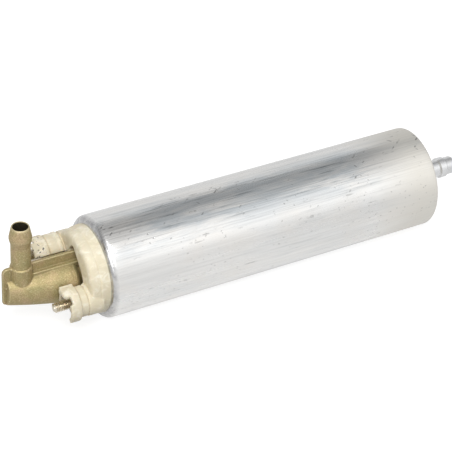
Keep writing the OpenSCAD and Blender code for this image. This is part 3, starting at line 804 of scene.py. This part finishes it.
@dataclass
class EndCap:
    """The moulded end cap: two shrouded terminal posts round the opening for the outlet elbow."""

    rim: float = -76.8
    face: float = -84.8
    wall: float = -79.8
    step: float = 3.9
    r: float = 17.6
    lip: float = 18.6
    plug: float = 20.27
    post_off: float = 13.0
    post_tilt: float = 21.0
    opening: float = 9.0
    scallop: float = 9.5
    groove_r: float = 18.4
    lug_arc: int = 148
    hollow_r: float = 13.1
    mouth_r: float = 16.6
    shanks: tuple[float, float] = (2.43, 2.93)
    wardrobe: Wardrobe = field(default_factory=Wardrobe)

    def post(self, side: int) -> Matrix:
        """Finds the place of a post.

        Args:
            side: -1 for the smaller one, nearer the viewer, and 1 for the larger.

        Returns:
            Where the post starts at the rim, with X along the tube.
        """
        turn = math.radians(self.post_tilt)
        reach = side * self.post_off
        return Matrix.Translation((self.rim, reach * math.cos(turn), reach * math.sin(turn)))

    def shell(self) -> Outline:
        """Returns the profile of the cap's turned body, from its face to the plug in the tube."""
        face, rim, r, lip, plug = self.face, self.rim, self.r, self.lip, self.plug
        edge = rim - self.step
        return [
            (face, 0.0), (face, r - 2.4), (face + 0.2, r - 1.4), (face + 0.7, r - 0.6),
            (face + 1.6, r - 0.1), (edge - 0.3, r + 0.25), (edge, r + 0.05),
            (edge + 0.3, lip - 0.4), (rim - 1.0, lip - 0.1), (rim + 1.3, lip), (rim + 3.0, plug),
            (rim + 5.2, plug),
            (rim + 5.2, self.groove_r), (rim + 7.8, self.groove_r), (rim + 7.8, plug),
            (rim + 11.0, plug), (rim + 11.0, 0.0),
        ]

    def body(self) -> Form:
        """Returns the cap's turned body with both posts and their guards, before it is cut."""
        form = Form().turn(self.shell(), 160)
        small, large = self.post(-1), self.post(1)
        form.turn([
            (-3.0, 0.0), (-3.0, 6.7), (-9.0, 6.7), (-9.1, 6.1), (-9.6, 6.1), (-9.7, 6.5),
            (-12.9, 6.35), (-12.9, 7.3), (-13.1, 7.5), (-13.6, 7.5), (-13.6, 0.0),
        ], 96, small)
        form.turn([
            (-13.0, 5.6), (-16.1, 5.6), (-16.3, 5.8), (-16.3, 7.3), (-16.1, 7.5), (-13.0, 7.5),
        ], 80, small, (25, 246))
        form.turn([
            (-16.0, 5.6), (-17.2, 5.6), (-17.4, 5.8), (-17.4, 7.3), (-17.2, 7.5), (-16.0, 7.5),
        ], 48, small, (146, 226))
        # The lug rises in three steps towards its middle
        for top, start in ((-17.9, 30), (-18.5, 34), (-18.8, 40)):
            form.turn([
                (-13.0, 5.2), (top + 0.3, 5.1), (top, 5.4), (top, 6.9), (top + 0.5, 7.5),
                (-13.0, 7.5),
            ], 40, small, (start, self.lug_arc - start))
        form.turn([
            (-3.0, 0.0), (-3.0, 6.7), (-7.8, 6.7), (-7.9, 5.9), (-9.0, 5.9), (-9.1, 6.9),
            (-10.4, 6.9), (-10.5, 6.65), (-14.4, 6.7), (-14.5, 6.2), (-15.2, 6.2), (-15.3, 7.1),
            (-16.9, 7.1), (-16.9, 0.0),
        ], 96, large)
        form.turn([
            (-16.0, 5.2), (-19.7, 5.2), (-20.0, 5.5), (-20.0, 6.7), (-19.7, 7.1), (-16.0, 7.1),
        ], 72, large, (50, 205))
        form.turn([
            (-19.0, 5.2), (-21.4, 5.2), (-21.6, 5.5), (-21.6, 6.7), (-21.3, 7.1), (-19.0, 7.1),
        ], 56, large, (100, 205))
        # The wall beside the elbow follows the cap's axis
        axis = Matrix.Translation((self.rim, 0, 0))
        form.turn([(-12.9, 9.0), (-18.5, 9.0), (-18.5, 10.3), (-12.9, 10.3)], 24, axis, (163, 203))
        back = [(-16.0, 5.2), (-18.3, 5.2), (-18.5, 6.8), (-16.0, 7.1)]
        return form.turn(back, 56, large, (225, 335))

    def hollows(self, clearance: Form) -> Form:
        """Adds the cap's own hollows to the room that the elbow needs.

        Args:
            clearance: The elbow's room.

        Returns:
            Everything that is cut from the cap.
        """
        front, back = self.rim - 40.0, self.rim + 12.0
        outside, inside = self.face - 1.0, self.wall + 1.0
        clearance.cone((front, 0, 0), (self.face, 0, 0), self.scallop, self.scallop, 96)
        clearance.cone((outside, 0, 0), (inside, 0, 0), self.opening, self.opening, 96)
        notch = [(0.0, 0.0), (3.7, 9.7), (1.5, 12.7), (0.0, 12.7), (-5.4, 7.2)]
        clearance.prism([(outside, y, z) for y, z in notch], (inside - self.face + 1.0, 0, 0))
        clearance.cone((self.wall, 0, 0), (back, 0, 0), self.hollow_r, self.hollow_r, 96)
        clearance.cone((self.rim - 0.5, 0, 0), (back, 0, 0), self.mouth_r, self.mouth_r, 96)
        for side, shank in zip((-1, 1), self.shanks):
            _, y, z = self.post(side).translation
            clearance.cone((front, y, z), (self.rim, y, z), shank, shank, 48)
        return clearance

    def build(self, clearance: Form) -> bpy.types.Object:
        """Moulds the cap.

        Args:
            clearance: The elbow's room.

        Returns:
            The cap.
        """
        return melt("cap_moulding", self.body(), self.hollows(clearance), 0.28, 4)

    def dress(self, cap: bpy.types.Object) -> None:
        """Gives the cap its finish and its place in the assembly."""
        self.wardrobe.dress(cap, Slot.PLASTIC)
        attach(cap, "housing")
        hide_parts("end_cap")


@dataclass
class OutletElbow:
    """The die-cast elbow: a leaning round body on a thin web, a ledge beside it and the boss."""

    rim: float = -76.8
    reach: float = 38.7
    lean: float = 3.7
    tip_r: float = 5.6
    knee_r: float = 8.9
    neck_r: float = 6.0
    web: float = 1.5
    web_top: float = 11.4
    web_low: float = -5.5
    ledge: float = 7.35
    barb_x: float = -107.4
    barb_top: float = 30.2
    boss_r: float = 4.5
    pinch: float = 0.27
    pinch_end: float = 11.0
    web_round: float = 2.2
    flange_r: float = 8.9
    flange_y: float = 4.0
    flange_z: float = 12.2
    spigot_r: float = 7.0
    chamber_r: float = 3.7
    duct_r: float = 2.6
    bore_r: float = 3.1
    wardrobe: Wardrobe = field(default_factory=Wardrobe)

    def trunk(self, form: Form, grow: float) -> Form:
        """Adds the round body, pinched at its free end, and its neck.

        Args:
            form: What they are added to.
            grow: How much larger they are all round.

        Returns:
            The form.
        """
        tip, knee, neck = self.tip_r, self.knee_r, self.neck_r
        tilt = Matrix.Rotation(math.radians(self.lean), 4, "Y")
        place = Matrix.Translation((self.rim - self.reach + 1.4, 0, -0.2)) @ tilt
        rise = (knee - 0.4 - tip) / 19.5
        flank = [(s, tip + rise * s) for s in (2.0, 3.5, 5.0, 7.0, 9.0, 12.0, 15.0, 19.5)]
        skin = [
            (0.0, tip - 0.2), (0.2, tip), (0.9, tip + 0.1), *flank, (25.2, knee),
            (27.6, knee - 0.1), (28.8, knee - 0.8), (29.6, neck + 0.6), (29.8, neck),
        ]
        body = Form().turn([(0.0, 0.0), *((x, r + grow) for x, r in skin), (29.8, 0.0)], 96)
        for vert in body.bm.verts:
            share = min(1.0, max(0.0, vert.co.x / self.pinch_end))
            vert.co.y *= 1.0 - (1.0 - share) ** 1.5 * self.pinch
        form.take(body.bm, place)
        r = neck + grow
        return form.cone((self.rim - 10.5, 0, -0.8), (self.rim - 2.5, 0, -0.8), r, r)

    def clearance(self) -> Form:
        """Returns the room that the end cap leaves round the elbow."""
        return self.trunk(Form(), 0.35)

    def skin(self) -> Form:
        """Returns the casting's shells: trunk, web, ledge, boss and the flange in the cap."""
        rim, half, low, high = self.rim, self.web / 2, self.web_low, self.web_top
        form = self.trunk(Form(), 0.0)
        left, right = rim - self.reach, rim - 2.5
        corners = [
            (left, half, low + 0.6), (left + 0.2, half, low + 0.15), (left + 0.6, half, low),
            (right, half, low), (right, half, high), (left, half, high),
        ]
        form.prism(
            corners, (0, -self.web, 0), lambda corner: corner.x < left + 0.1 and corner.z > 0,
            self.web_round,
        )
        form.block((rim - 28.0, -2.45, 2.0), (right, 0.0, self.ledge))
        form.cone((self.barb_x, 0, -2.0), (self.barb_x, 0, 11.0), self.boss_r, self.boss_r)
        form.cone((self.barb_x, 0, 10.99), (self.barb_x, 0, 11.6), self.boss_r, 3.9)
        front, back = rim - 2.97, rim - 0.5
        form.cone((front, 0, 0), (back, 0, 0), self.flange_r, self.flange_r)
        form.block((front, -self.flange_y, -self.flange_z), (back, self.flange_y, self.flange_z))
        return form.cone((rim - 0.6, 0, 0), (rim + 6.0, 0, 0), self.spigot_r, self.spigot_r)

    def bores(self) -> Form:
        """Returns the casting's bores: the check valve's chamber, the duct and the barb's bore."""
        rim, x = self.rim, self.barb_x
        form = Form().cone((rim - 8.95, 0, 0), (rim + 7.0, 0, 0), self.chamber_r, self.chamber_r)
        form.cone((x, 0, -0.4), (rim - 8.5, 0, -0.4), self.duct_r, self.duct_r)
        return form.cone((x, 0, -1.0), (x, 0, 40.0), self.bore_r, self.bore_r)

    def barb(self) -> bpy.types.Object:
        """Turns the hose barb on the boss: a plain tube, a flank up to the land and a round tip."""
        top = self.barb_top
        upright = Matrix.Rotation(math.radians(-90.0), 4, "Y")
        place = Matrix.Translation((self.barb_x, 0, 0)) @ upright
        stem = [(9.0, 3.12), (9.0, 4.0), (11.3, 4.0), (11.6, 4.03), (12.2, 4.0)]
        # How far below the tip, and the radius there
        land = [
            (9.3, 4.0), (9.0, 3.92), (8.7, 4.0), (7.6, 4.12), (6.2, 4.5), (5.7, 4.6), (4.7, 4.6),
            (4.2, 4.5), (2.4, 4.12), (1.0, 3.85), (0.3, 3.66), (0.05, 3.45), (0.0, 3.3),
            (0.15, 3.16), (0.5, 3.1),
        ]
        profile = [*stem, *((top - down, r) for down, r in land), (15.0, 3.1)]
        return Form().turn(profile, 96, place).piece("outlet_barb", 50.0)

    def build(self) -> tuple[bpy.types.Object, bpy.types.Object]:
        """Casts the elbow and turns its barb.

        Returns:
            The casting and the barb.
        """
        return melt("elbow_casting", self.skin(), self.bores(), 0.22, 6), self.barb()

    def dress(self, pieces: Iterable[bpy.types.Object]) -> None:
        """Gives the pieces their finish and their place in the assembly."""
        for piece in pieces:
            self.wardrobe.dress(piece, Slot.CASTING)
            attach(piece, "housing")
            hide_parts("outlet_elbow")


@dataclass
class TerminalStud:
    """A terminal stud: its thread's core and ridge, the shank in the cap and the head inside it.

    The thread's depth and the halves of its crest and foot are shares of the pitch.
    """

    name: str
    node: str
    side: int
    r: float
    pitch: float
    reach: float
    floor: float
    cap: EndCap
    wardrobe: Wardrobe = field(default_factory=Wardrobe)
    depth: float = 0.66
    crest: float = 0.08
    foot: float = 0.42
    head_r: float = 3.5
    head_h: float = 1.6
    seat: float = -0.47
    turn_steps: int = 36

    def build(self) -> bpy.types.Object:
        """Turns the stud and winds the thread's ridge round it.

        Returns:
            The stud.
        """
        root, shank, seat = self.r - self.depth * self.pitch, self.r + 0.4, self.seat
        tip, start = -self.reach, -self.floor - 0.3
        form = Form().turn([
            (tip, 0.0), (tip, root - 0.25), (tip + 0.35, root), (start, root), (start, shank),
            (seat, shank), (seat, self.head_r), (seat + self.head_h, self.head_r),
            (seat + self.head_h, 0.0),
        ], 48, self.cap.post(self.side))
        turns = (start - tip - 0.6) / self.pitch
        crest, foot, first = self.crest * self.pitch, self.foot * self.pitch, tip + 0.3
        ridge = bmesh.new()
        profile = [
            (first - foot, root - 0.08), (first - crest, self.r), (first + crest, self.r),
            (first + foot, root - 0.08),
        ]
        face = ridge.faces.new([ridge.verts.new((x, y, 0.0)) for x, y in profile])
        bmesh.ops.spin(
            ridge, geom=[face, *face.edges, *face.verts], cent=(0, 0, 0), axis=(1, 0, 0),
            dvec=(self.pitch / self.turn_steps, 0, 0), angle=2 * math.pi * turns,
            steps=round(self.turn_steps * turns), use_merge=False, use_duplicate=False,
        )
        bmesh.ops.recalc_face_normals(ridge, faces=ridge.faces)
        return form.take(ridge, self.cap.post(self.side)).piece(self.name, 35.0)

    def dress(self, stud: bpy.types.Object) -> None:
        """Gives the stud its finish and its place in the assembly."""
        self.wardrobe.dress(stud, Slot.STEEL)
        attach(stud, "housing")
        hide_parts(self.node)


@dataclass
class Studio:
    """A pale floor, a white surround, soft lamps and the camera at the photograph's view."""

    floor_z: float = -21.5
    eye: Point = (-353.9, -568.5, 486.0)
    lens: float = 157.6
    right: Point = (0.8752, -0.4815, 0.0474)
    up: Point = (0.2515, 0.5365, 0.8055)
    back: Point = (-0.4133, -0.6931, 0.5907)
    floor_half: float = 6000.0
    floor_gap: float = 0.05
    floor_glow: float = 0.78
    floor_shine: float = 0.5
    floor_grey: float = 0.4
    room_light: float = 0.6
    # Brightness round the X axis, from the horizon behind the object at 0 to the viewer's at 1
    sky: Outline = (
        (0.0, 0.88), (0.235, 0.85), (0.262, 0.40), (0.40, 0.46), (0.55, 0.80), (0.70, 1.25),
        (0.82, 1.3), (0.90, 1.0),
    )
    lamps: tuple[tuple[str, Point, float, float], ...] = (
        ("key", (-250.0, -420.0, 700.0), 420.0, 5.0),
        ("side", (-780.0, -260.0, 300.0), 420.0, 1.0),
    )

    def camera(self) -> None:
        """Places the camera."""
        data = bpy.data.cameras.new("camera")
        data.sensor_width, data.lens = 36.0, self.lens
        data.clip_start, data.clip_end = 0.02, 20.0
        cam = bpy.data.objects.new("camera", data)
        turn = Matrix((self.right, self.up, self.back)).transposed().to_4x4()
        cam.matrix_world = Matrix.Translation(Vector(self.eye) * MM) @ turn
        bpy.context.scene.collection.objects.link(cam)
        bpy.context.scene.camera = cam

    def floor(self) -> None:
        """Lays the floor, which is nearly white to the camera and keeps the soft shadow."""
        part = bmesh.new()
        bmesh.ops.create_grid(part, x_segments=1, y_segments=1, size=self.floor_half)
        sheet = Form().take(part, Matrix.Translation((0, 0, self.floor_z - self.floor_gap)))
        floor = sheet.piece("floor")
        material = bpy.data.materials.new("pale_floor")
        net = Net.bare(material)
        ray = net.add("LightPath").outputs
        shine = net.math("MAXIMUM", ray["Is Glossy Ray"], ray["Is Transmission Ray"])
        shine = net.times(shine, self.floor_shine)
        glow, dull, both = net.add("Emission"), net.add("BsdfDiffuse"), net.add("AddShader")
        glow.inputs["Color"].default_value = (1, 1, 1, 1)
        dull.inputs["Color"].default_value = (*(self.floor_grey,) * 3, 1)
        lit = net.math("ADD", net.times(ray["Is Camera Ray"], self.floor_glow), shine)
        net.link(lit, glow.inputs["Strength"])
        net.link(dull.outputs[0], both.inputs[0])
        net.link(glow.outputs[0], both.inputs[1])
        net.link(both.outputs[0], net.add("OutputMaterial").inputs["Surface"])
        floor.data.materials.append(material)

    def surround(self) -> None:
        """Makes the world pale, with a dimmer band high up behind the object for its reflection."""
        world = bpy.data.worlds.new("studio")
        bpy.context.scene.world = world
        net = Net.bare(world)
        ray = net.add("LightPath").outputs
        parts = net.add("SeparateXYZ")
        net.link(net.add("TexCoord").outputs["Generated"], parts.inputs[0])
        height = net.math("ARCTAN2", parts.outputs["Z"], parts.outputs["Y"])
        stops = [(at, (level,) * 3) for at, level in self.sky]
        band = net.ramp(net.fit(height, 0.0, math.pi, 0.0, 1.0), stops)
        plain, soft, shine = (net.add("Background") for _ in range(3))
        soft.inputs["Strength"].default_value = self.room_light
        net.link(band, shine.inputs["Color"])
        seen = net.choose(ray["Is Glossy Ray"], soft.outputs[0], shine.outputs[0])
        seen = net.choose(ray["Is Camera Ray"], seen, plain.outputs[0])
        net.link(seen, net.add("OutputWorld").inputs["Surface"])

    def lamp(self, name: str, at: Point, size: float, power: float) -> None:
        """Hangs a square lamp that points at the object.

        Args:
            name: Its name.
            at: Its place in millimetres.
            size: Its side in millimetres.
            power: Its power in watts.
        """
        data = bpy.data.lights.new(name, "AREA")
        data.shape, data.size, data.energy = "SQUARE", size * MM, power
        obj = bpy.data.objects.new(name, data)
        obj.location = Vector(at) * MM
        obj.rotation_euler = (-obj.location).to_track_quat("-Z", "Y").to_euler()
        bpy.context.scene.collection.objects.link(obj)

    def build(self) -> None:
        """Sets up the camera, the floor, the surround and the lamps."""
        self.camera()
        self.floor()
        self.surround()
        for name, at, size, power in self.lamps:
            self.lamp(name, at, size, power)
        bpy.context.scene.view_settings.view_transform = "Standard"


def dress_nodes(frame: dict, wardrobe: Wardrobe) -> None:
    """Gives every CAD node the finish of its slot in the record, or the finish that LOOKS names for
    it.

    Args:
        frame: What the frame's load gave.
        wardrobe: The finishes.
    """
    for entry in frame["record"]["subparts"]:
        slot = Slot(entry["material_slot"])
        wardrobe.dress(frame["nodes"][entry["node"]], LOOKS.get(entry["node"], slot))
        LOG.info("%s carries %s", entry["node"], slot.value)


def compress_springs(frame: dict) -> None:
    """Gives each spring that a joint deforms a mesh of its own; the spring is not shortened.

    Args:
        frame: What the frame's load gave.
    """
    for joint in frame["record"]["behaviour"]["joints"]:
        for entry in joint.get("deforming_nodes", []):
            letter = entry["mode"][-1]
            column = "xyz".index(letter)
            fixed = entry[f"fixed_end_{letter}_m"]
            way, anchor = [0.0] * 3, [0.0] * 3
            way[column], anchor[column] = 1.0, fixed
            spring = frame["nodes"][entry["node"]]
            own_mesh(spring)


def main() -> None:
    """Builds the whole scene."""
    logging.basicConfig(level=logging.INFO, format="%(message)s")
    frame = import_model()
    wardrobe = Wardrobe()
    studio = Studio()
    studio.build()
    dress_nodes(frame, wardrobe)
    compress_springs(frame)
    tube = TubeShell(wardrobe=wardrobe)
    shell = tube.build()
    tube.dress(shell)
    elbow = OutletElbow(wardrobe=wardrobe)
    casting = elbow.build()
    elbow.dress(casting)
    cap = EndCap(wardrobe=wardrobe)
    moulding = cap.build(elbow.clearance())
    cap.dress(moulding)
    studs = []
    for stud in (
        TerminalStud("small_stud", "stud_small", -1, 2.0, 0.7, 22.3, 13.6, cap, wardrobe),
        TerminalStud("large_stud", "stud_large", 1, 2.5, 0.8, 25.5, 16.9, cap, wardrobe),
    ):
        studs.append(stud.build())
        stud.dress(studs[-1])
    for piece in (shell, *casting, moulding, *studs):
        LOG.info("%s: %d faces", piece.name, len(piece.data.polygons))


if __name__ == "__main__":
    main()
